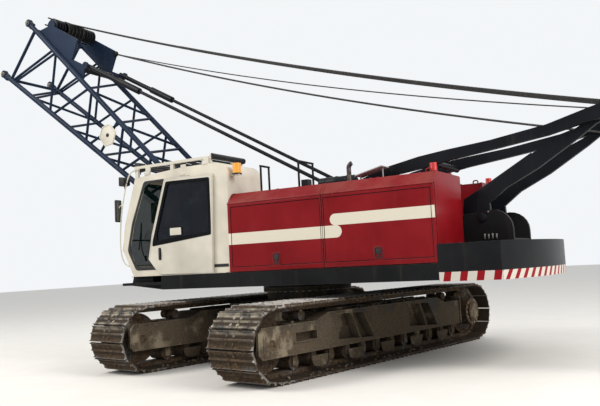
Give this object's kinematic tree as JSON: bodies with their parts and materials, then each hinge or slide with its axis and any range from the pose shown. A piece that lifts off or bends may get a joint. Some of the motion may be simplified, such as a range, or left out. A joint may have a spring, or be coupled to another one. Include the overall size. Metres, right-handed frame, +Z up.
{
  "type": "crawler crane",
  "caption": "Crawler crane with its lattice base boom section, lowered gantry, glazed cab and side houses, swung across its tracks",
  "frame": {"origin": "on the ground at the slewing axis", "axes": "+X from the slewing axis towards the boom, +Y to the cab side, +Z up"},
  "size_m": [11.3128, 6.3102, 6.4793],
  "materials": {
    "crawler_steel": "dusty brown worn steel",
    "frame_mud": "grey paint under dry mud",
    "deck_dark": "dark grey semi-gloss paint",
    "house_red": "deep red gloss paint with off-white stripes",
    "weight_dark": "glossy dark grey with red and white slanted stripes",
    "cab_cream": "cream gloss paint",
    "glass": "tinted safety glass",
    "boom_blue": "dark blue-grey paint",
    "gantry_black": "near-black paint",
    "bare_steel": "bare machined steel",
    "rope_steel": "greased wire rope",
    "trim_black": "black plastic and vinyl",
    "lamp_amber": "amber and red lamp covers",
    "machinery": "grey machinery paint",
    "exhaust_steel": "heat-stained steel"
  },
  "bodies": {
    "carbody": {"carbody": "frame_mud"},
    "left_crawler": {"left_track": "crawler_steel", "left_side_frame": "frame_mud", "left_rollers": "crawler_steel", "left_idler": "crawler_steel", "left_sprocket": "crawler_steel"},
    "right_crawler": {"right_track": "crawler_steel", "right_side_frame": "frame_mud", "right_rollers": "crawler_steel", "right_idler": "crawler_steel", "right_sprocket": "crawler_steel"},
    "upper": {"deck": "deck_dark", "left_house": "house_red", "right_house": "house_red", "engine": "machinery", "oil_tank": "machinery", "counterweight": "weight_dark", "cab_shell": "cab_cream", "cab_glass": "glass", "cab_seat": "trim_black", "roof_guard": "trim_black", "gantry_mast": "gantry_black", "gantry_struts": "gantry_black", "winch_frames": "deck_dark", "rails": "deck_dark", "exhaust": "exhaust_steel", "lamps": "lamp_amber"},
    "cab_door": {"cab_door": "cab_cream", "cab_door_glass": "glass"},
    "left_front_door": {"left_front_door": "house_red"},
    "left_rear_door": {"left_rear_door": "house_red"},
    "right_front_door": {"right_front_door": "house_red"},
    "right_rear_door": {"right_rear_door": "house_red"},
    "boom": {"boom": "boom_blue", "boom_bracket": "boom_blue"},
    "bracket_sheaves": {"bracket_sheaves": "bare_steel"},
    "gantry_sheaves": {"gantry_sheaves": "bare_steel"},
    "reeving_rear": {"reeving_rear": "rope_steel"},
    "reeving_front": {"reeving_front": "rope_steel"},
    "backstop_tubes": {"backstop_tubes": "boom_blue"},
    "backstop_rods": {"backstop_rods": "boom_blue"},
    "front_drum": {"front_drum": "machinery"},
    "rear_drum": {"rear_drum": "machinery"},
    "boom_hoist_drum": {"boom_hoist_drum": "machinery"}
  },
  "joints": [
    {"name": "left_crawler_spread", "type": "slide", "parent": "carbody", "child": "left_crawler", "axis": [-0.9816, 0.1908, 0], "range_m": [0, 0.5]},
    {"name": "right_crawler_spread", "type": "slide", "parent": "carbody", "child": "right_crawler", "axis": [0.9816, -0.1908, 0], "range_m": [0, 0.5]},
    {"name": "swing", "type": "hinge", "parent": "carbody", "child": "upper", "pos_m": [0, 0, 1.066], "axis": [0, 0, 1], "continuous": true},
    {"name": "cab_door_slide", "type": "slide", "parent": "upper", "child": "cab_door", "axis": [1, 0, 0], "range_m": [-0.2, 0.39]},
    {"name": "boom_raise", "type": "hinge", "parent": "upper", "child": "boom", "pos_m": [1, 0, 1.6], "axis": [0, -1, 0], "range_deg": [-10.6, 39.4]},
    {"name": "bracket_sheave_spin", "type": "hinge", "parent": "boom", "child": "bracket_sheaves", "pos_m": [5.13166, 0, 6.26052], "axis": [0, 1, 0], "continuous": true},
    {"name": "gantry_sheave_spin", "type": "hinge", "parent": "upper", "child": "gantry_sheaves", "pos_m": [-4.64, 0, 3.1], "axis": [0, 1, 0], "continuous": true},
    {"name": "reeving_rear_swing", "type": "hinge", "parent": "upper", "child": "reeving_rear", "pos_m": [-4.64, 0, 3.1], "axis": [0, -1, 0], "range_deg": [-6.09, 21.26]},
    {"name": "reeving_front_swing", "type": "hinge", "parent": "boom", "child": "reeving_front", "pos_m": [5.13166, 0, 6.26052], "axis": [0, -1, 0], "range_deg": [-19.14, 5.51]},
    {"name": "backstop_tube_swing", "type": "hinge", "parent": "boom", "child": "backstop_tubes", "pos_m": [4.24158, 0, 5.29831], "axis": [0, -1, 0], "range_deg": [-4.44, 1.56]},
    {"name": "backstop_rod_slide", "type": "slide", "parent": "backstop_tubes", "child": "backstop_rods", "axis": [-0.8744, 0, -0.4853], "range_m": [-1.243, 0.3417]},
    {"name": "left_front_door_lift", "type": "hinge", "parent": "upper", "child": "left_front_door", "pos_m": [-0.43, 1.595, 2.2997], "axis": [1, 0, 0], "range_deg": [0, 90]},
    {"name": "left_rear_door_lift", "type": "hinge", "parent": "upper", "child": "left_rear_door", "pos_m": [-1.96, 1.595, 2.2997], "axis": [1, 0, 0], "range_deg": [0, 90]},
    {"name": "right_front_door_lift", "type": "hinge", "parent": "upper", "child": "right_front_door", "pos_m": [-0.43, -1.595, 2.2997], "axis": [-1, 0, 0], "range_deg": [0, 90]},
    {"name": "right_rear_door_lift", "type": "hinge", "parent": "upper", "child": "right_rear_door", "pos_m": [-1.96, -1.595, 2.2997], "axis": [-1, 0, 0], "range_deg": [0, 90]},
    {"name": "front_drum_spin", "type": "hinge", "parent": "upper", "child": "front_drum", "pos_m": [-0.12, 0, 1.8], "axis": [0, 1, 0], "continuous": true},
    {"name": "rear_drum_spin", "type": "hinge", "parent": "upper", "child": "rear_drum", "pos_m": [-1.25, 0, 1.8], "axis": [0, 1, 0], "continuous": true},
    {"name": "boom_hoist_drum_spin", "type": "hinge", "parent": "upper", "child": "boom_hoist_drum", "pos_m": [-1.95, 0, 1.8], "axis": [0, 1, 0], "continuous": true}
  ],
  "couplings": [
    {"joint": "reeving_rear_swing", "follows": "boom_raise", "ratio": 0.527},
    {"joint": "reeving_front_swing", "follows": "boom_raise", "ratio": -0.473},
    {"joint": "backstop_tube_swing", "follows": "boom_raise", "ratio": -0.1},
    {"joint": "backstop_rod_slide", "follows": "boom_raise", "m_per_rad": -1.793}
  ]
}
